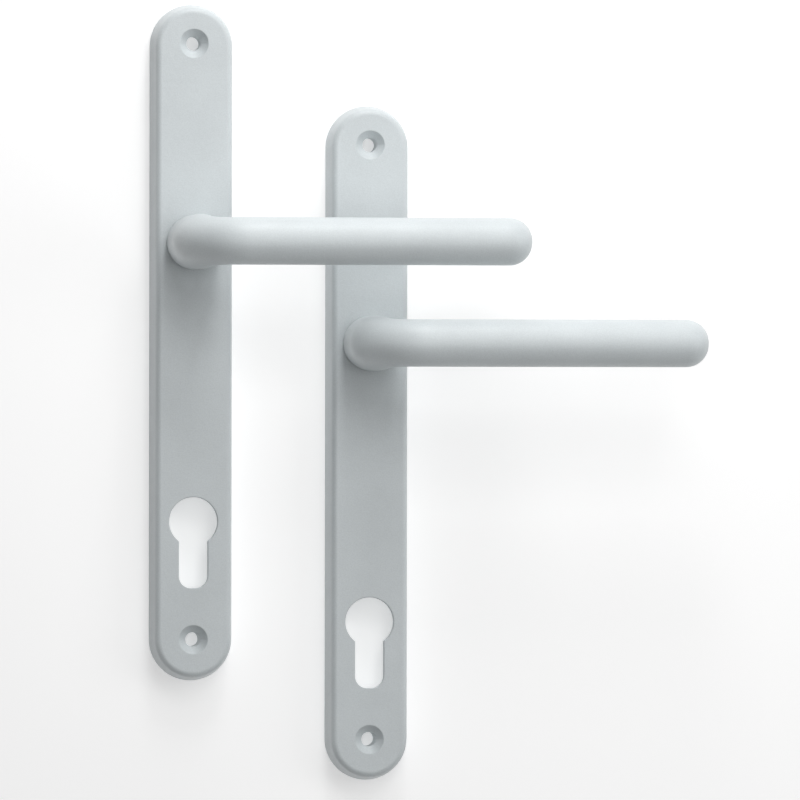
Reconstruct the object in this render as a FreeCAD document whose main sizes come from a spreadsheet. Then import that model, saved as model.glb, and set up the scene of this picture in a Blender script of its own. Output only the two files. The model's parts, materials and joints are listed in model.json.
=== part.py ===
"""A pair of lever handles on long backplates, for a door with a euro profile cylinder lock.

Both handles lie on their backs, side by side and staggered, with the levers pointing along +X.
Each handle is modelled round its own spindle axis: the back of its plate is at z = 0, the front
looks up along +Z and the cylinder cut-out is below the lever, towards -Y. The two are then placed
so that the origin of the model is under the middle of the pair's box.

Inside each hollow backplate a nylon bush carries the lever's neck. A driver plate is keyed onto
the shank below the bush, and a torsion spring round the bush turns the driver back to its stop
post. Washers and a retaining ring hold the lever in, and a thin steel cover closes the chamber.
One lever turns anticlockwise from rest and the other clockwise, so their insides are mirrored.

Lengths are in millimetres and angles in degrees.
"""
import FreeCAD, Part
import math
import os
import Sketcher
from FreeCAD import Placement, Rotation, Vector

SIZES = {
    # backplate
    "plate_length": 250.0,
    "plate_width": 30.8,
    "plate_height": 11.0,
    "plate_top": 88.0,  # spindle axis to the plate's top end
    "plate_draft": 8.2,  # lean of the side walls
    "plate_round": 2.2,
    "plate_wall": 2.9,
    "face_wall": 2.6,
    "rib_thick": 1.4,
    "rib_low": 3.0,  # height of the ribs' free edge
    "rib_pitch": 14.0,
    "upper_rib": 32.0,  # spindle axis to the first rib above it
    "upper_ribs": 3,
    "lower_rib": 36.0,
    "lower_ribs": 4,
    "end_rib": 133.7,
    # fixing screws
    "screw_up": 73.4,
    "screw_down": 146.6,
    "screw_hole": 5.3,
    "screw_sink": 10.7,
    "sink_round": 0.35,
    "screw_boss": 12.6,
    # euro profile cut-out
    "cylinder_down": 103.0,
    "cylinder_hole": 18.0,
    "cylinder_slot": 10.7,
    "cylinder_reach": 24.6,  # centre of the round part to the end of the slot
    "cylinder_corner": 4.5,
    "lip_round": 0.35,
    # lever
    "journal_wide": 16.3,  # the part of the neck inside the bush
    "neck_wide": 20.2,
    "neck_round": 0.5,
    "neck_gap": 0.05,  # between the neck and the bush
    "grip_wide": 17.4,
    "grip_height": 48.5,  # axis of the grip above the back of the plate
    "grip_reach": 120.4,  # spindle axis to the lever's tip
    "tip_round": 8.3,
    "bend": 16.0,
    "shank_wide": 14.0,
    "shank_flat": 12.2,
    "shank_end": 0.3,
    "shank_bevel": 0.4,
    "shoulder": 5.05,  # height at which the journal steps down to the shank
    "socket_wide": 8.1,
    "socket_deep": 33.0,
    # bush
    "bush_bore": 16.4,
    "bush_wide": 18.4,
    "bush_flange": 19.4,
    "flange_thick": 0.5,
    "bush_end": 5.0,
    "play": 0.06,  # on the diameter of parts that are pressed or screwed together
    # driver plate
    "driver_low": 3.35,
    "driver_thick": 1.5,
    "driver_wide": 19.0,
    "key_play": 0.1,
    "ear_reach": 14.6,
    "ear_half": 12.0,  # angle each side of the ear's middle
    "tab_near": 12.35,
    "tab_far": 13.85,
    "tab_wide": 3.0,
    "tab_top": 7.0,
    "turn": 40.0,  # angle from rest to the far stop
    # washers and retaining ring
    "flat_washer_low": 2.3,
    "flat_washer_thick": 0.4,
    "dish_low": 2.72,
    "dish_thick": 0.3,
    "dish_rise": 0.28,
    "washer_wide": 19.0,
    "washer_hole": 14.2,
    "ring_low": 1.25,
    "ring_thick": 1.0,
    "groove_low": 1.2,
    "groove_high": 2.3,
    "groove_wide": 13.2,
    "ring_hole": 13.3,
    "ring_wide": 17.0,
    "ring_gap": 50.0,
    "lug_wide": 3.4,
    "lug_reach": 8.9,
    "lug_angle": 33.0,
    "lug_hole": 1.5,
    # return spring
    "wire": 1.0,
    "coil_wide": 21.0,  # middle of the wire
    "coil_low": 5.6,
    "coil_high": 7.75,
    "leg_reach": 15.0,
    "leg_play": 0.05,
    "post_reach": 13.65,
    "post_wide": 3.0,
    "post_low": 3.0,
    "stop_play": 0.5,  # angle left between the ear and a post
    # cover of the spring chamber, and its screws
    "cover_wide": 23.4,
    "cover_half": 24.0,
    "cover_low": 0.1,
    "cover_thick": 0.8,
    "cover_hole": 15.2,
    "boss_wide": 6.0,
    "boss_at": 19.5,
    "small_screw": 2.5,
    "small_head": 4.1,
    "small_length": 7.0,
    "small_bevel": 0.5,
    "pilot_deep": 7.4,
    "recess_wide": 0.6,
    "recess_long": 2.4,
    "recess_deep": 0.6,
    # clamp screw in the neck
    "clamp_up": 24.0,
    "clamp_wide": 5.0,
    "clamp_length": 5.0,
    "clamp_at": 4.25,  # inner end of the screw, from the spindle axis
    "clamp_bevel": 0.4,
    "clamp_key": 2.5,
    "clamp_key_deep": 2.0,
    # where the second handle lies
    "stagger_x": 65.6,
    "stagger_y": 37.1,
}
HEX_SIDES = 6
ELBOW_STEP = 15  # angle between the sections of the elbow
SLIMMING = 6  # power of the cosine by which the elbow slims down from the neck to the grip
OVERLAP = 0.5  # how far bosses, posts and ribs run into the wall that they stand on
CLEAR = 12.0  # a distance outside the neck

doc = FreeCAD.newDocument("euro_lever_pair")
sheet = doc.addObject("Spreadsheet::Sheet", "sizes")
for row, (alias, number) in enumerate(SIZES.items(), start=1):
    sheet.set(f"A{row}", alias)
    sheet.set(f"B{row}", str(number))
    sheet.setAlias(f"B{row}", alias)
doc.recompute()


class Dim:
    """A length, angle or ratio, kept as the spreadsheet expression that gives it."""

    def __init__(self, text):
        self.text = text

    @property
    def value(self):
        return float(sheet.evalExpression(self.text))

    def __add__(self, other):
        return Dim(f"({self.text} + {dim(other).text})")

    def __sub__(self, other):
        return Dim(f"({self.text} - {dim(other).text})")

    def __mul__(self, other):
        return Dim(f"({self.text} * {dim(other).text})")

    def __truediv__(self, other):
        return Dim(f"({self.text} / {dim(other).text})")

    def __neg__(self):
        return Dim(f"(-1 * {self.text})")


def dim(value):
    """value as a Dim, whether it is one already or a plain number."""
    return value if isinstance(value, Dim) else Dim(repr(float(value)))


def size(alias):
    return Dim(f"sizes.{alias}")


def cosine(angle):
    return Dim(f"cos({dim(angle).text} * 1 deg)")


def sine(angle):
    return Dim(f"sin({dim(angle).text} * 1 deg)")


def square_root(value):
    return Dim(f"sqrt({value.text})")


def turned(x, y, angle):
    """The point x, y turned by that angle about the spindle axis."""
    x, y = dim(x), dim(y)
    return x * cosine(angle) - y * sine(angle), x * sine(angle) + y * cosine(angle)


PLATE_R = size("plate_width") / 2
CAVITY_R = PLATE_R - size("plate_wall")
CAVITY_TOP = size("plate_height") - size("face_wall")
TOP_CENTRE = size("plate_top") - PLATE_R
LOW_CENTRE = size("plate_top") - size("plate_length") + PLATE_R
COVER_TOP = size("cover_low") + size("cover_thick")
NECK_LOW = size("plate_height") + size("flange_thick") + size("neck_gap")
ELBOW_START = size("grip_height") - size("bend")
LEG_BEND = (size("post_wide") + size("wire")) / 2 + size("leg_play")
POST_HALF = Dim("(asin(sizes.post_wide / 2 / sizes.post_reach) / 1 deg)") + size("stop_play")
POST_SPREAD = size("turn") / 2 + size("ear_half") + POST_HALF


def ear_angle(hand):
    """Direction of the driver's ear at rest. hand is 1 for a lever that turns anticlockwise, else -1."""
    return dim(-90) - size("turn") / 2 * hand


def post_angle(side):
    """Direction of the stop post on that side, 1 or -1, of the chamber."""
    return dim(-90) + POST_SPREAD * side


# ------------------------------------------------------------------ sketches and features


def bind(thing, prop, value):
    """Ties a property to its spreadsheet expression."""
    thing.setExpression(prop, dim(value).text)


def new_body(name):
    body = doc.addObject("PartDesign::Body", name)
    body.Label = name
    return body


def new_sketch(body, name, plane="XY_Plane", height=None):
    """A sketch on one of the body's own planes, moved along the plane's normal by height."""
    sketch = body.newObject("Sketcher::SketchObject", name)
    base = next(feature for feature in body.Origin.OriginFeatures if feature.Role == plane)
    sketch.AttachmentSupport = [(base, "")]
    sketch.MapMode = "FlatFace"
    if height is not None:
        bind(sketch, "AttachmentOffset.Base.z", height)
    return sketch


def fix(sketch, kind, index, point, value):
    """Sets one coordinate of a sketch point by a distance from the origin or, at zero, by an axis."""
    value = dim(value)
    number = value.value
    if abs(number) < 1e-9:
        axis = -2 if kind == "DistanceX" else -1
        sketch.addConstraint(Sketcher.Constraint("PointOnObject", index, point, axis))
        return
    ends = (-1, 1, index, point) if number > 0 else (index, point, -1, 1)
    made = sketch.addConstraint(Sketcher.Constraint(kind, *ends, abs(number)))
    bind(sketch, f"Constraints[{made}]", value if number > 0 else -value)


def place(sketch, index, point, x, y):
    fix(sketch, "DistanceX", index, point, x)
    fix(sketch, "DistanceY", index, point, y)


def circle(sketch, x, y, diameter):
    x, y, diameter = dim(x), dim(y), dim(diameter)
    centre = Vector(x.value, y.value, 0)
    index = sketch.addGeometry(Part.Circle(centre, Vector(0, 0, 1), diameter.value / 2))
    place(sketch, index, 3, x, y)
    made = sketch.addConstraint(Sketcher.Constraint("Diameter", index, diameter.value))
    bind(sketch, f"Constraints[{made}]", diameter)


def arc(sketch, start, end, radius, bend):
    """An arc shorter than half a circle from start to end, curving left (bend 1) or right (bend -1)."""
    chord = end - start
    side = Vector(-chord.y, chord.x, 0).normalize() * bend
    depth = math.sqrt(max(0.0, radius.value**2 - (chord.Length / 2) ** 2))
    centre = (start + end) / 2 + side * depth
    first, last = (start, end) if bend > 0 else (end, start)
    angles = [math.atan2(p.y - centre.y, p.x - centre.x) for p in (first, last)]
    index = sketch.addGeometry(Part.ArcOfCircle(Part.Circle(centre, Vector(0, 0, 1), radius.value), *angles))
    made = sketch.addConstraint(Sketcher.Constraint("Radius", index, radius.value))
    bind(sketch, f"Constraints[{made}]", radius)
    return (index, 1, 2) if bend > 0 else (index, 2, 1)


def draw(sketch, corners, closed=True):
    """An outline. A corner (x, y) has a straight side after it and (x, y, radius, bend) has an arc."""
    corners = [tuple(dim(v) for v in corner[:3]) + tuple(corner[3:]) for corner in corners]
    points = [Vector(corner[0].value, corner[1].value, 0) for corner in corners]
    made = []
    for i in range(len(corners) if closed else len(corners) - 1):
        start, end = points[i], points[(i + 1) % len(points)]
        if len(corners[i]) == 2:
            made.append((sketch.addGeometry(Part.LineSegment(start, end)), 1, 2))
        else:
            made.append(arc(sketch, start, end, *corners[i][2:]))
    for i, (index, start, _) in enumerate(made):
        place(sketch, index, start, corners[i][0], corners[i][1])
        if closed or i > 0:
            before, _, end = made[i - 1]
            sketch.addConstraint(Sketcher.Constraint("Coincident", before, end, index, start))
    if not closed:
        place(sketch, made[-1][0], made[-1][2], corners[-1][0], corners[-1][1])


def obround(sketch, half_width, low, high):
    """A long shape with round ends, whose end centres are at y = low and y = high. Each end is made
    of two quarter circles."""
    corners = [
        (half_width, low),
        (half_width, high, half_width, 1),
        (0, high + half_width, half_width, 1),
        (-half_width, high),
        (-half_width, low, half_width, 1),
        (0, low - half_width, half_width, 1),
    ]
    draw(sketch, corners)


def rectangle(sketch, x_low, x_high, y_low, y_high):
    draw(sketch, [(x_low, y_low), (x_high, y_low), (x_high, y_high), (x_low, y_high)])


def pad(body, sketch, length, name):
    feature = body.newObject("PartDesign::Pad", name)
    feature.Profile = sketch
    bind(feature, "Length", length)
    doc.recompute()
    return feature


def pocket(body, sketch, length, name, up=False):
    """Cuts the sketch into the body against its normal, or along it if up. No length cuts through."""
    before = body.Tip.Shape.Volume
    feature = body.newObject("PartDesign::Pocket", name)
    feature.Profile = sketch
    if length is None:
        feature.Type = "ThroughAll"
    else:
        bind(feature, "Length", length)
    feature.Reversed = up
    doc.recompute()
    if feature.Shape.Volume > before - 1e-6:
        raise RuntimeError(f"{name} cuts nothing")
    return feature


def spin(body, sketch, name, kind="Revolution", axis="V_Axis", angle=360):
    """Turns a sketch about one of its own axes, to add (Revolution) or to cut (Groove)."""
    feature = body.newObject(f"PartDesign::{kind}", name)
    feature.Profile = sketch
    feature.ReferenceAxis = (sketch, [axis])
    feature.Angle = angle
    doc.recompute()
    return feature


def drill(body, sketch, hole, sink, name, up=False):
    """Through holes with a 90 degree countersink, at the circles of the sketch."""
    doc.recompute()
    before = body.Tip.Shape.Volume
    feature = body.newObject("PartDesign::Hole", name)
    feature.Profile = sketch
    feature.Reversed = up
    feature.Threaded = False
    feature.DepthType = "ThroughAll"
    bind(feature, "Diameter", hole)
    feature.HoleCutType = "Countersink"
    feature.HoleCutCustomValues = True
    bind(feature, "HoleCutDiameter", sink)
    feature.HoleCutCountersinkAngle = 90
    doc.recompute()
    if feature.Shape.Volume > before - 1e-6:
        raise RuntimeError(f"{name} cuts nothing")
    return feature


def soften(body, base, picks, radius, name):
    """A fillet on the edges of the base feature that the test picks."""
    edges = [f"Edge{i}" for i, edge in enumerate(base.Shape.Edges, start=1) if picks(edge)]
    if not edges:
        raise RuntimeError(f"{name} found no edge")
    feature = body.newObject("PartDesign::Fillet", name)
    feature.Base = (base, edges)
    bind(feature, "Radius", radius)
    doc.recompute()
    return feature


def flat_edges(height, near, far):
    """A test for edges that lie flat at that height and whose far end is between near and far from
    the spindle axis."""

    def test(edge):
        reach = max(math.hypot(vertex.X, vertex.Y) for vertex in edge.Vertexes)
        box = edge.BoundBox
        flat = max(abs(box.ZMin - height.value), abs(box.ZMax - height.value)) < 1e-4
        return flat and near <= reach <= far

    return test


def sink_edge(edge):
    """A test for the outer edge of a countersunk screw hole."""
    wide = SIZES["screw_sink"]
    box = edge.BoundBox
    flat = abs(box.ZMin - SIZES["plate_height"]) < 1e-4
    return flat and abs(box.XLength - wide) < 1e-2 and abs(box.YLength - wide) < 1e-2


# ------------------------------------------------------------------ pieces fixed to the plate


def draw_cylinder_cutout(sketch):
    """The euro profile: a round hole with a round-cornered slot hanging from it."""
    radius = size("cylinder_hole") / 2
    half = size("cylinder_slot") / 2
    middle = -size("cylinder_down")
    low = middle - size("cylinder_reach")
    corner = size("cylinder_corner")
    joint = middle - square_root(radius * radius - half * half)
    corners = [
        (half, joint, radius, 1),
        (radius, middle, radius, 1),
        (0, middle + radius, radius, 1),
        (-radius, middle, radius, 1),
        (-half, joint),
        (-half, low + corner, corner, 1),
        (corner - half, low),
        (half - corner, low, corner, 1),
        (half, low + corner),
    ]
    draw(sketch, corners)


def add_ribs(body, name, middles):
    """Thin walls across the hollow of the plate, hanging from its front wall."""
    sketch = new_sketch(body, f"{name}_outline", height=size("rib_low"))
    reach = CAVITY_R + OVERLAP
    half = size("rib_thick") / 2
    for middle in middles:
        rectangle(sketch, -reach, reach, middle - half, middle + half)
    pad(body, sketch, CAVITY_TOP - size("rib_low") + OVERLAP, name)


def backplate(name, hand):
    """The cast plate: a hollow, drafted, round-ended shell with bosses, ribs, posts and cut-outs."""
    body = new_body(name)
    sketch = new_sketch(body, f"{name}_outline")
    obround(sketch, PLATE_R, LOW_CENTRE, TOP_CENTRE)
    block = pad(body, sketch, size("plate_height"), f"{name}_block")
    bind(block, "TaperAngle", -size("plate_draft"))
    doc.recompute()
    front = flat_edges(size("plate_height"), 0, SIZES["plate_length"])
    soften(body, block, front, size("plate_round"), f"{name}_edge")

    sketch = new_sketch(body, f"{name}_cavity_outline")
    obround(sketch, CAVITY_R, LOW_CENTRE, TOP_CENTRE)
    pocket(body, sketch, CAVITY_TOP, f"{name}_cavity", up=True)

    screws = [size("screw_up"), -size("screw_down")]
    sketch = new_sketch(body, f"{name}_screw_boss_outline")
    for y in screws:
        circle(sketch, 0, y, size("screw_boss"))
    pad(body, sketch, CAVITY_TOP + OVERLAP, f"{name}_screw_bosses")

    sketch = new_sketch(body, f"{name}_cover_boss_outline", height=COVER_TOP)
    for side in (1, -1):
        circle(sketch, 0, size("boss_at") * side, size("boss_wide"))
    pad(body, sketch, CAVITY_TOP - COVER_TOP + OVERLAP, f"{name}_cover_bosses")

    sketch = new_sketch(body, f"{name}_post_outline", height=size("post_low"))
    for side in (1, -1):
        circle(sketch, *turned(size("post_reach"), 0, post_angle(side)), size("post_wide"))
    pad(body, sketch, CAVITY_TOP - size("post_low") + OVERLAP, f"{name}_stop_posts")

    upper = [size("upper_rib") + size("rib_pitch") * i for i in range(SIZES["upper_ribs"])]
    add_ribs(body, f"{name}_upper_ribs", upper)
    lower = [-size("lower_rib") - size("rib_pitch") * i for i in range(SIZES["lower_ribs"])]
    add_ribs(body, f"{name}_lower_ribs", lower)
    add_ribs(body, f"{name}_end_rib", [-size("end_rib")])

    sketch = new_sketch(body, f"{name}_spindle_outline", height=size("plate_height"))
    circle(sketch, 0, 0, size("bush_wide") + size("play"))
    pocket(body, sketch, None, f"{name}_spindle_hole")

    sketch = new_sketch(body, f"{name}_cylinder_outline", height=size("plate_height"))
    draw_cylinder_cutout(sketch)
    cut = pocket(body, sketch, None, f"{name}_cylinder_hole")
    near = SIZES["cylinder_down"] - SIZES["cylinder_hole"]
    far = SIZES["cylinder_down"] + SIZES["cylinder_reach"] + OVERLAP
    lip = flat_edges(size("plate_height"), near, far)
    soften(body, cut, lip, size("lip_round"), f"{name}_cylinder_lip")

    sketch = new_sketch(body, f"{name}_screw_outline", height=size("plate_height"))
    for y in screws:
        circle(sketch, 0, y, size("screw_hole"))
    holes = drill(body, sketch, size("screw_hole"), size("screw_sink"), f"{name}_screw_holes")
    soften(body, holes, sink_edge, size("sink_round"), f"{name}_screw_rims")

    sketch = new_sketch(body, f"{name}_pilot_outline", height=size("cover_low"))
    for side in (1, -1):
        circle(sketch, 0, size("boss_at") * side, size("small_screw") + size("play"))
    pocket(body, sketch, size("pilot_deep"), f"{name}_pilot_holes", up=True)
    return body


def bearing_bush(name, hand):
    """A flanged nylon sleeve, pressed into the plate from the front."""
    body = new_body(name)
    sketch = new_sketch(body, f"{name}_section", "XZ_Plane")
    bore, barrel, flange = size("bush_bore") / 2, size("bush_wide") / 2, size("bush_flange") / 2
    face = size("plate_height")
    rim = face + size("flange_thick")
    corners = [(bore, size("bush_end")), (barrel, size("bush_end")), (barrel, face), (flange, face)]
    corners += [(flange, rim), (bore, rim)]
    draw(sketch, corners)
    spin(body, sketch, f"{name}_sleeve")
    return body


def add_spring_leg(body, name, height, side, along):
    """One leg of the return spring, at the angle along from the coil's start: a bend out of the coil
    to the given side, 1 or -1, and a straight end."""
    path = new_sketch(body, f"{name}_path", height=height)
    bind(path, "AttachmentOffset.Rotation.Angle", along)
    coil = size("coil_wide") / 2
    corners = [(coil, 0, LEG_BEND, -side), (coil + LEG_BEND, LEG_BEND * side), (size("leg_reach"), LEG_BEND * side)]
    draw(path, corners, closed=False)
    doc.recompute()
    section = body.newObject("Sketcher::SketchObject", f"{name}_section")
    section.AttachmentSupport = [(path, "Edge1"), (path, "Vertex1")]
    section.MapMode = "NormalToEdge"
    circle(section, 0, 0, size("wire"))
    doc.recompute()
    leg = body.newObject("PartDesign::AdditivePipe", name)
    leg.Profile = section
    leg.Spine = (path, ["Edge1", "Edge2"])
    doc.recompute()


def return_spring(name, hand):
    """A torsion spring round the bush. Its lower leg pushes the driver's tab and its upper leg bears
    on a stop post. It is drawn with the lower leg at angle 0 and then turned into place."""
    body = new_body(name)
    turns = dim(2) - (post_angle(hand) - ear_angle(hand)) * hand / 360
    sketch = new_sketch(body, f"{name}_section", "XZ_Plane")
    circle(sketch, size("coil_wide") / 2, size("coil_low"), size("wire"))
    coil = body.newObject("PartDesign::AdditiveHelix", f"{name}_coil")
    coil.Profile = sketch
    coil.ReferenceAxis = (sketch, ["V_Axis"])
    coil.Mode = "height-turns-angle"
    coil.LeftHanded = hand > 0
    bind(coil, "Height", size("coil_high") - size("coil_low"))
    bind(coil, "Turns", turns)
    bind(coil, "Angle", 0)
    doc.recompute()
    add_spring_leg(body, f"{name}_lower_leg", size("coil_low"), hand, dim(0))
    add_spring_leg(body, f"{name}_upper_leg", size("coil_high"), -hand, turns * -360 * hand)
    bind(body, "Placement.Rotation.Angle", ear_angle(hand))
    return body


def spring_cover(name, hand):
    """A thin steel sheet over the chamber, with a hole for the spindle and two countersunk holes."""
    body = new_body(name)
    sketch = new_sketch(body, f"{name}_outline", height=size("cover_low"))
    half = size("cover_wide") / 2
    end = size("cover_half") - half
    obround(sketch, half, -end, end)
    pad(body, sketch, size("cover_thick"), f"{name}_sheet")
    sketch = new_sketch(body, f"{name}_spindle_outline", height=size("cover_low"))
    circle(sketch, 0, 0, size("cover_hole"))
    pocket(body, sketch, None, f"{name}_spindle_hole", up=True)
    sketch = new_sketch(body, f"{name}_screw_outline", height=size("cover_low"))
    for side in (1, -1):
        circle(sketch, 0, size("boss_at") * side, size("small_screw"))
    hole, head = size("small_screw") + size("play"), size("small_head") + size("play")
    drill(body, sketch, hole, head, f"{name}_screw_holes", up=True)
    return body


def cover_screw(name, hand):
    """A countersunk screw with a cross recess, its head flush with the back of the cover."""
    body = new_body(name)
    sketch = new_sketch(body, f"{name}_section", "XZ_Plane")
    head, stem = size("small_head") / 2, size("small_screw") / 2
    low = size("cover_low")
    tip = low + size("small_length")
    bevel = size("small_bevel")
    corners = [(0, low), (head, low), (stem, low + head - stem)]
    corners += [(stem, tip - bevel), (stem - bevel, tip), (0, tip)]
    draw(sketch, corners)
    spin(body, sketch, f"{name}_stem")
    long, wide = size("recess_long") / 2, size("recess_wide") / 2
    for way, (x, y) in enumerate(((long, wide), (wide, long)), start=1):
        sketch = new_sketch(body, f"{name}_recess_outline_{way}", height=low)
        rectangle(sketch, -x, x, -y, y)
        pocket(body, sketch, size("recess_deep"), f"{name}_recess_{way}", up=True)
    return body


# ------------------------------------------------------------------ pieces that turn with the lever


def draw_neck_section(sketch):
    """Half of the section through shank, journal and neck."""
    shank, journal, neck = size("shank_wide") / 2, size("journal_wide") / 2, size("neck_wide") / 2
    end, bevel, edge = size("shank_end"), size("shank_bevel"), size("neck_round")
    corners = [
        (0, end),
        (shank - bevel, end),
        (shank, end + bevel),
        (shank, size("shoulder")),
        (journal, size("shoulder")),
        (journal, NECK_LOW),
        (neck - edge, NECK_LOW, edge, 1),
        (neck, NECK_LOW + edge),
        (neck, ELBOW_START),
        (0, ELBOW_START),
    ]
    draw(sketch, corners)


def add_elbow(body, name):
    """A quarter bend through round sections, which slim down from the neck to the grip."""
    sections = []
    for angle in range(0, 91, ELBOW_STEP):
        section = new_sketch(body, f"{name}_section_{angle}", height=ELBOW_START + size("bend") * sine(angle))
        bind(section, "AttachmentOffset.Base.x", size("bend") - size("bend") * cosine(angle))
        section.AttachmentOffset = Placement(section.AttachmentOffset.Base, Rotation(Vector(0, 1, 0), angle))
        share = Dim(f"{cosine(angle).text} ^ {SLIMMING}")
        circle(section, 0, 0, size("grip_wide") + (size("neck_wide") - size("grip_wide")) * share)
        sections.append(section)
    doc.recompute()
    elbow = body.newObject("PartDesign::AdditiveLoft", name)
    elbow.Profile = sections[0]
    elbow.Sections = sections[1:]
    doc.recompute()


def lever(name, hand):
    """The cast lever: shank and neck in one turned shape, a quarter bend and a round grip."""
    body = new_body(name)
    sketch = new_sketch(body, f"{name}_neck_section", "XZ_Plane")
    draw_neck_section(sketch)
    spin(body, sketch, f"{name}_neck")

    add_elbow(body, f"{name}_elbow")

    sketch = new_sketch(body, f"{name}_grip_section", "YZ_Plane", height=size("bend"))
    circle(sketch, 0, size("grip_height"), size("grip_wide"))
    grip = pad(body, sketch, size("grip_reach") - size("bend"), f"{name}_grip")
    tip = size("grip_reach").value
    soften(body, grip, lambda edge: edge.BoundBox.XMin > tip - 0.01, size("tip_round"), f"{name}_tip")

    half = size("socket_wide") / 2
    sketch = new_sketch(body, f"{name}_socket_outline", height=size("shank_end"))
    rectangle(sketch, -half, half, -half, half)
    pocket(body, sketch, size("socket_deep"), f"{name}_spindle_socket", up=True)

    sketch = new_sketch(body, f"{name}_flat_outline", height=size("shank_end"))
    near, far = size("shank_flat") / 2, size("journal_wide") / 2
    rectangle(sketch, -far, far, near, far)
    rectangle(sketch, -far, far, -far, -near)
    pocket(body, sketch, size("shoulder") - size("shank_end"), f"{name}_flats", up=True)

    sketch = new_sketch(body, f"{name}_groove_section", "XZ_Plane")
    near, far = size("groove_wide") / 2, size("journal_wide") / 2
    rectangle(sketch, near, far, size("groove_low"), size("groove_high"))
    spin(body, sketch, f"{name}_ring_groove", kind="Groove")

    sketch = new_sketch(body, f"{name}_clamp_outline", "XZ_Plane", height=CLEAR)
    circle(sketch, 0, size("clamp_up"), size("clamp_wide") + size("play"))
    pocket(body, sketch, dim(CLEAR) - size("socket_wide") / 2 + OVERLAP, f"{name}_clamp_hole")
    return body


def driver_plate(name, hand):
    """The plate that couples lever and spring: a disc keyed to the shank, with a stop ear and a tab."""
    body = new_body(name)
    aim = ear_angle(hand)
    sketch = new_sketch(body, f"{name}_disc_outline", height=size("driver_low"))
    circle(sketch, 0, 0, size("driver_wide"))
    pad(body, sketch, size("driver_thick"), f"{name}_disc")

    root, reach, half = size("driver_wide") / 2 - OVERLAP, size("ear_reach"), size("ear_half")
    sketch = new_sketch(body, f"{name}_ear_outline", height=size("driver_low"))
    corners = [
        turned(root, 0, aim - half),
        (*turned(reach, 0, aim - half), reach, 1),
        turned(reach, 0, aim + half),
        turned(root, 0, aim + half),
    ]
    draw(sketch, corners)
    pad(body, sketch, size("driver_thick"), f"{name}_ear")

    near, far, wide = size("tab_near"), size("tab_far"), size("tab_wide") / 2
    sketch = new_sketch(body, f"{name}_tab_outline", height=size("driver_low"))
    draw(sketch, [turned(x, y, aim) for x, y in ((near, -wide), (far, -wide), (far, wide), (near, wide))])
    pad(body, sketch, size("tab_top") - size("driver_low"), f"{name}_tab")

    radius = (size("shank_wide") + size("key_play")) / 2
    flat = (size("shank_flat") + size("key_play")) / 2
    side = square_root(radius * radius - flat * flat)
    sketch = new_sketch(body, f"{name}_key_outline", height=size("driver_low"))
    corners = [(side, -flat, radius, 1), (side, flat), (-side, flat, radius, 1), (-side, -flat)]
    draw(sketch, corners)
    pocket(body, sketch, None, f"{name}_key_hole", up=True)
    return body


def thrust_washer(name, hand):
    """A flat steel washer on the retaining ring."""
    body = new_body(name)
    sketch = new_sketch(body, f"{name}_outline", height=size("flat_washer_low"))
    circle(sketch, 0, 0, size("washer_wide"))
    circle(sketch, 0, 0, size("washer_hole"))
    pad(body, sketch, size("flat_washer_thick"), f"{name}_disc")
    return body


def dished_washer(name, hand):
    """A slightly conical spring washer that takes up the end play of the lever."""
    body = new_body(name)
    sketch = new_sketch(body, f"{name}_section", "XZ_Plane")
    hole, rim = size("washer_hole") / 2, size("washer_wide") / 2
    low, rise, thick = size("dish_low"), size("dish_rise"), size("dish_thick")
    draw(sketch, [(hole, low + rise), (rim, low), (rim, low + thick), (hole, low + rise + thick)])
    spin(body, sketch, f"{name}_cone")
    return body


def retaining_ring(name, hand):
    """An open ring with two lugs, snapped into the groove of the shank."""
    body = new_body(name)
    sketch = new_sketch(body, f"{name}_outline", height=size("ring_low"))
    circle(sketch, 0, 0, size("ring_wide"))
    circle(sketch, 0, 0, size("ring_hole"))
    pad(body, sketch, size("ring_thick"), f"{name}_hoop")

    half, far = size("ring_gap") / 2, size("ring_wide")
    sketch = new_sketch(body, f"{name}_gap_outline", height=size("ring_low"))
    draw(sketch, [(0, 0), turned(far, 0, dim(90) - half), turned(far, 0, dim(90) + half)])
    pocket(body, sketch, size("ring_thick"), f"{name}_gap", up=True)

    lugs = [turned(size("lug_reach"), 0, dim(90) + size("lug_angle") * side) for side in (1, -1)]
    sketch = new_sketch(body, f"{name}_lug_outline", height=size("ring_low"))
    for x, y in lugs:
        circle(sketch, x, y, size("lug_wide"))
    pad(body, sketch, size("ring_thick"), f"{name}_lugs")
    sketch = new_sketch(body, f"{name}_lug_hole_outline", height=size("ring_low"))
    for x, y in lugs:
        circle(sketch, x, y, size("lug_hole"))
    pocket(body, sketch, None, f"{name}_lug_holes", up=True)
    return body


def clamp_screw(name, hand):
    """The headless hexagon-socket screw that clamps the spindle. It is drawn upright and then laid
    along -Y in the neck."""
    body = new_body(name)
    sketch = new_sketch(body, f"{name}_section", "XZ_Plane")
    radius, bevel, top = size("clamp_wide") / 2, size("clamp_bevel"), size("clamp_length")
    corners = [(0, 0), (radius - bevel, 0), (radius, bevel), (radius, top - bevel), (radius - bevel, top), (0, top)]
    draw(sketch, corners)
    spin(body, sketch, f"{name}_stem")
    corner = size("clamp_key") / 2 / cosine(180 / HEX_SIDES)
    sketch = new_sketch(body, f"{name}_key_outline", height=top)
    draw(sketch, [turned(corner, 0, 360 / HEX_SIDES * i) for i in range(HEX_SIDES)])
    pocket(body, sketch, size("clamp_key_deep"), f"{name}_key")
    body.Placement = Placement(Vector(), Rotation(Vector(1, 0, 0), 90))
    return body


# ------------------------------------------------------------------ the two handles

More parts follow.
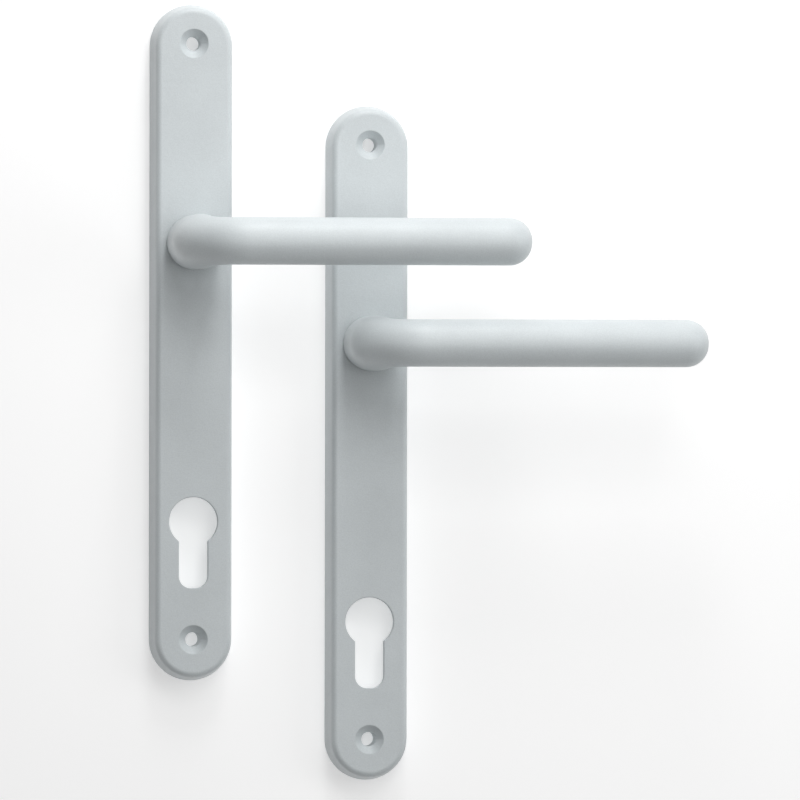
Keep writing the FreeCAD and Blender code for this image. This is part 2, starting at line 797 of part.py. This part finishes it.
PIECES = {
    "backplate": (backplate, None, None),
    "bearing_bush": (bearing_bush, None, None),
    "return_spring": (return_spring, None, None),
    "spring_cover": (spring_cover, None, None),
    "cover_screw_upper": (cover_screw, size("boss_at"), None),
    "cover_screw_lower": (cover_screw, -size("boss_at"), None),
    "lever": (lever, None, None),
    "driver_plate": (driver_plate, None, None),
    "thrust_washer": (thrust_washer, None, None),
    "dished_washer": (dished_washer, None, None),
    "retaining_ring": (retaining_ring, None, None),
    "clamp_screw": (clamp_screw, -size("clamp_at"), size("clamp_up")),
}
LEFT_X = (PLATE_R - size("stagger_x") - size("grip_reach")) / 2
LEFT_Y = (size("plate_length") + size("stagger_y")) / 2 - size("plate_top")
HANDLES = {
    "left": (1, LEFT_X, LEFT_Y),
    "right": (-1, LEFT_X + size("stagger_x"), LEFT_Y - size("stagger_y")),
}

made = []
for side, (hand, x, y) in HANDLES.items():
    for piece, (build, shift, lift) in PIECES.items():
        body = build(f"{side}_{piece}", hand)
        bind(body, "Placement.Base.x", x)
        bind(body, "Placement.Base.y", y if shift is None else y + shift)
        if lift is not None:
            bind(body, "Placement.Base.z", lift)
        made.append(body)
doc.recompute()

for thing in doc.Objects:
    if "Invalid" in thing.State or "Error" in thing.State:
        raise RuntimeError(f"{thing.Label}: {thing.State}")
os.makedirs("parts", exist_ok=True)
for body in made:
    if body.Shape.isNull() or not body.Shape.isValid() or len(body.Shape.Solids) != 1:
        raise RuntimeError(f"{body.Label} is not one sound solid")
    body.Shape.exportStep(f"parts/{body.Label}.step")
    print(body.Label, round(body.Shape.Volume, 1), body.Shape.BoundBox)
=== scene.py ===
"""Looks for the pair of lever handles: powder-coated castings on a plain pale floor, seen from the front."""
import json
import math
import bpy
from mathutils import Euler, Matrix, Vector


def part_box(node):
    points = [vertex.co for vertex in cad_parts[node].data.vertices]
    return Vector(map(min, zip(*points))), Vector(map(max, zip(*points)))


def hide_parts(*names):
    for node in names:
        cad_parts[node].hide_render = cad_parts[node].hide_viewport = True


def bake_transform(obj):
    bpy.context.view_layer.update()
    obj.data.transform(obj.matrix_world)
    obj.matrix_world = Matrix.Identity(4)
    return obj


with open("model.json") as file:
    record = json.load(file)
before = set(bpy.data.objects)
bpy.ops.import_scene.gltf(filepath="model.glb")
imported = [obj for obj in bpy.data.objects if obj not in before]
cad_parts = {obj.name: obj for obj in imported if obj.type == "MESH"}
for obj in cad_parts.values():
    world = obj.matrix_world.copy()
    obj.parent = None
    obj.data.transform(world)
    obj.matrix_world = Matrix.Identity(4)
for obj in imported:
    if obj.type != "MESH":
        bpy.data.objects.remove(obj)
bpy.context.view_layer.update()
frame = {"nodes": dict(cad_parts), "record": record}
nodes = frame["nodes"]
MILLIMETRE = 0.001


def middle(node):
    low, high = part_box(node)
    return (low + high) / 2


SPINDLE = {side: middle(f"{side}_bearing_bush") for side in ("left", "right")}  # a point on each turning axis

# ------------------------------------------------------------------ material helpers


def material(name, metallic=0.0):
    mat = bpy.data.materials.new(name)
    mat.use_nodes = True
    tree = mat.node_tree
    shader = tree.nodes["Principled BSDF"]
    shader.inputs["Metallic"].default_value = metallic
    return mat, tree, shader


def grey(value):
    return (value, value, value)


def shade(colour, share):
    return tuple(min(1.0, channel * share) for channel in colour)


def noise(tree, scale, detail=4.0, rough=0.55, stretch=(1, 1, 1)):
    """A noise value over the piece, in scale features per metre."""
    coords = tree.nodes.new("ShaderNodeTexCoord")
    mapping = tree.nodes.new("ShaderNodeMapping")
    mapping.inputs["Scale"].default_value = stretch
    tree.links.new(coords.outputs["Object"], mapping.inputs["Vector"])
    node = tree.nodes.new("ShaderNodeTexNoise")
    node.inputs["Scale"].default_value = scale
    node.inputs["Detail"].default_value = detail
    node.inputs["Roughness"].default_value = rough
    tree.links.new(mapping.outputs["Vector"], node.inputs["Vector"])
    return node.outputs["Fac"]


def weighted_sum(tree, *layers):
    """Adds up the (source, weight) layers into one value."""
    total = None
    for source, weight in layers:
        scaled = tree.nodes.new("ShaderNodeMath")
        scaled.operation = "MULTIPLY_ADD"
        scaled.inputs[1].default_value = weight
        scaled.inputs[2].default_value = 0.0
        tree.links.new(source, scaled.inputs[0])
        if total is not None:
            tree.links.new(total, scaled.inputs[2])
        total = scaled.outputs["Value"]
    return total


def ramp(tree, source, stops):
    """Turns a value into a colour, by (place, colour) stops."""
    node = tree.nodes.new("ShaderNodeValToRGB")
    elements = node.color_ramp.elements
    while len(elements) < len(stops):
        elements.new(0.5)
    for element, (at, colour) in zip(elements, stops):
        element.position = at
        element.color = (*colour, 1)
    tree.links.new(source, node.inputs["Fac"])
    return node.outputs["Color"]


def colour_by(tree, shader, source, stops):
    tree.links.new(ramp(tree, source, stops), shader.inputs["Base Color"])


def roughness_by(tree, shader, source, low, high):
    """Roughness goes from low to high over the middle of the source's range."""
    stops = [(0.3, grey(low)), (0.7, grey(high))]
    tree.links.new(ramp(tree, source, stops), shader.inputs["Roughness"])


def bump(tree, shader, source, strength, distance):
    node = tree.nodes.new("ShaderNodeBump")
    node.inputs["Strength"].default_value = strength
    node.inputs["Distance"].default_value = distance
    tree.links.new(source, node.inputs["Height"])
    tree.links.new(node.outputs["Normal"], shader.inputs["Normal"])


# ------------------------------------------------------------------ materials

COAT = (0.655, 0.700, 0.715)
NYLON_DARK, NYLON_LIGHT = (0.75, 0.75, 0.71), (0.80, 0.80, 0.78)


def powder_coat():
    """White satin powder coat: faint patches of tone, orange peel and a fine grain."""
    mat, tree, shader = material("powder_coat")
    patches = noise(tree, scale=45.0, detail=3.0)
    grain = noise(tree, scale=2200.0, detail=2.0, rough=0.6)
    tone = weighted_sum(tree, (patches, 0.4), (grain, 0.6))
    colour_by(tree, shader, tone, [(0.35, shade(COAT, 0.94)), (0.65, shade(COAT, 1.05))])
    roughness_by(tree, shader, noise(tree, scale=320.0), low=0.38, high=0.48)
    peel = noise(tree, scale=520.0, detail=1.0)
    relief = weighted_sum(tree, (peel, 1.0), (grain, 0.35))
    bump(tree, shader, relief, strength=0.3, distance=0.16 * MILLIMETRE)
    return mat


def nylon():
    """Moulded nylon: a milky body with a fine sparked grain."""
    mat, tree, shader = material("nylon")
    colour_by(tree, shader, noise(tree, scale=300.0), [(0.3, NYLON_DARK), (0.7, NYLON_LIGHT)])
    shader.inputs["Subsurface Weight"].default_value = 0.15
    shader.inputs["Subsurface Scale"].default_value = 1.0 * MILLIMETRE
    grain = noise(tree, scale=2600.0, detail=2.0)
    roughness_by(tree, shader, grain, low=0.44, high=0.56)
    bump(tree, shader, grain, strength=0.15, distance=0.05 * MILLIMETRE)
    return mat


def metal(name, dark, light, low, high, tint=None, streaks=(1, 1, 1)):
    """Steel with mottled tone and gloss. Roughness goes from low to high in fine marks drawn out along
    streaks, and the tint, if any, shows in patches."""
    mat, tree, shader = material(name, metallic=1.0)
    stops = [(0.3, dark), (0.7, light)]
    if tint is not None:
        stops = [(0.25, dark), (0.42, tint), (0.58, light), (0.8, shade(light, 1.06))]
    colour_by(tree, shader, noise(tree, scale=180.0, detail=6.0), stops)
    marks = noise(tree, scale=700.0, stretch=streaks)
    roughness_by(tree, shader, marks, low, high)
    bump(tree, shader, marks, strength=0.15, distance=0.04 * MILLIMETRE)
    return mat


COATS = {
    "white_powder_coat": powder_coat(),
    "white_nylon": nylon(),
    "zinc_plated_steel": metal(
        "zinc_plate",
        dark=(0.50, 0.53, 0.57),
        light=(0.66, 0.68, 0.70),
        low=0.26,
        high=0.42,
        tint=(0.62, 0.63, 0.60),
        streaks=(1, 0.12, 1),
    ),
    "spring_steel": metal(
        "spring_steel",
        dark=(0.20, 0.19, 0.18),
        light=(0.36, 0.36, 0.37),
        low=0.28,
        high=0.45,
        tint=(0.27, 0.25, 0.24),
    ),
    "black_steel": metal(
        "black_oxide",
        dark=(0.030, 0.030, 0.034),
        light=(0.070, 0.070, 0.078),
        low=0.35,
        high=0.55,
    ),
}
for part in frame["record"]["subparts"]:
    node = nodes[part["node"]]
    node.data.materials.clear()
    node.data.materials.append(COATS[part["material_slot"]])

# ------------------------------------------------------------------ springs


def winding_spring(side):
    """A copy of the return spring, put in the scene in place of the original, which is hidden."""
    name = f"{side}_return_spring"
    spring = bpy.data.objects.new(f"{side}_winding_spring", nodes[name].data.copy())
    bpy.context.scene.collection.objects.link(spring)
    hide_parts(name)
    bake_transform(spring)


for side in SPINDLE:
    winding_spring(side)

# ------------------------------------------------------------------ floor

FLOOR_SIZE = 6.0
FLOOR_DROP = 0.2 * MILLIMETRE  # how far the floor lies below the backs of the plates
FLOOR_ALBEDO = 0.75
FLOOR_GLOW = 0.41  # lifts the floor towards white


def floor():
    bpy.ops.mesh.primitive_plane_add(size=FLOOR_SIZE, location=(0, 0, -FLOOR_DROP))
    plane = bpy.context.object
    plane.name = "floor"
    mat, _, shader = material("floor")
    shader.inputs["Base Color"].default_value = (*grey(FLOOR_ALBEDO), 1)
    shader.inputs["Roughness"].default_value = 0.9
    shader.inputs["Specular IOR Level"].default_value = 0.0
    shader.inputs["Emission Color"].default_value = (1, 1, 1, 1)
    shader.inputs["Emission Strength"].default_value = FLOOR_GLOW
    plane.data.materials.append(mat)


floor()

# ------------------------------------------------------------------ light

# soft boxes: where each hangs, its width and height in metres, and its power in watts
SOFT_BOXES = {
    "overhead": ((0.0, 0.0, 0.9), 0.5, 0.5, 1.55),
    "far_high": ((0.08, 0.45, 0.75), 0.3, 0.4, 1.25),
    "far_middle": ((0.02, 0.60, 0.50), 0.5, 0.4, 1.1),
    "far_low": ((0.0, 0.70, 0.28), 0.16, 0.3, 2.0),
    "far_right": ((0.35, 0.40, 0.70), 0.5, 0.4, 0.75),
    "right": ((0.70, 0.05, 0.45), 0.5, 0.4, 1.4),
    "left_high": ((-0.60, 0.0, 0.90), 0.4, 0.4, 0.4),
    "near_low": ((0.0, -0.60, 0.30), 0.4, 0.3, 0.28),
}
WORLD_STRENGTH = 0.01


def soft_box(name, place, width, height, power):
    """A rectangular lamp that faces the middle of the pair."""
    data = bpy.data.lights.new(name, "AREA")
    data.shape = "RECTANGLE"
    data.size = width
    data.size_y = height
    data.energy = power
    lamp = bpy.data.objects.new(name, data)
    lamp.location = place
    lamp.rotation_mode = "QUATERNION"
    lamp.rotation_quaternion = (-Vector(place)).to_track_quat("-Z", "Y")
    bpy.context.scene.collection.objects.link(lamp)


for name, (place, width, height, power) in SOFT_BOXES.items():
    soft_box(name, place, width, height, power)

world = bpy.data.worlds.new("studio")
world.use_nodes = True
background = world.node_tree.nodes["Background"]
background.inputs["Color"].default_value = (1, 1, 1, 1)
background.inputs["Strength"].default_value = WORLD_STRENGTH
bpy.context.scene.world = world
bpy.context.scene.view_settings.view_transform = "Standard"

# ------------------------------------------------------------------ camera

CAMERA_PLACE = Vector((-0.3285, -0.0494, 3.0))  # in metres, from where the left spindle's axis meets the door
CAMERA_TURN = (-0.166, -7.722, 0.078)  # degrees about x, y and z
CAMERA_LENS = 366.7  # focal length in millimetres


def add_camera():
    camera = bpy.data.objects.new("camera", bpy.data.cameras.new("camera"))
    camera.data.lens = CAMERA_LENS
    camera.data.clip_start = 0.05
    camera.data.clip_end = 20
    foot = Vector((SPINDLE["left"].x, SPINDLE["left"].y, 0))
    camera.location = foot + CAMERA_PLACE
    camera.rotation_mode = "QUATERNION"
    camera.rotation_quaternion = Euler([math.radians(angle) for angle in CAMERA_TURN], "ZYX").to_quaternion()
    bpy.context.scene.collection.objects.link(camera)
    bpy.context.scene.camera = camera


add_camera()
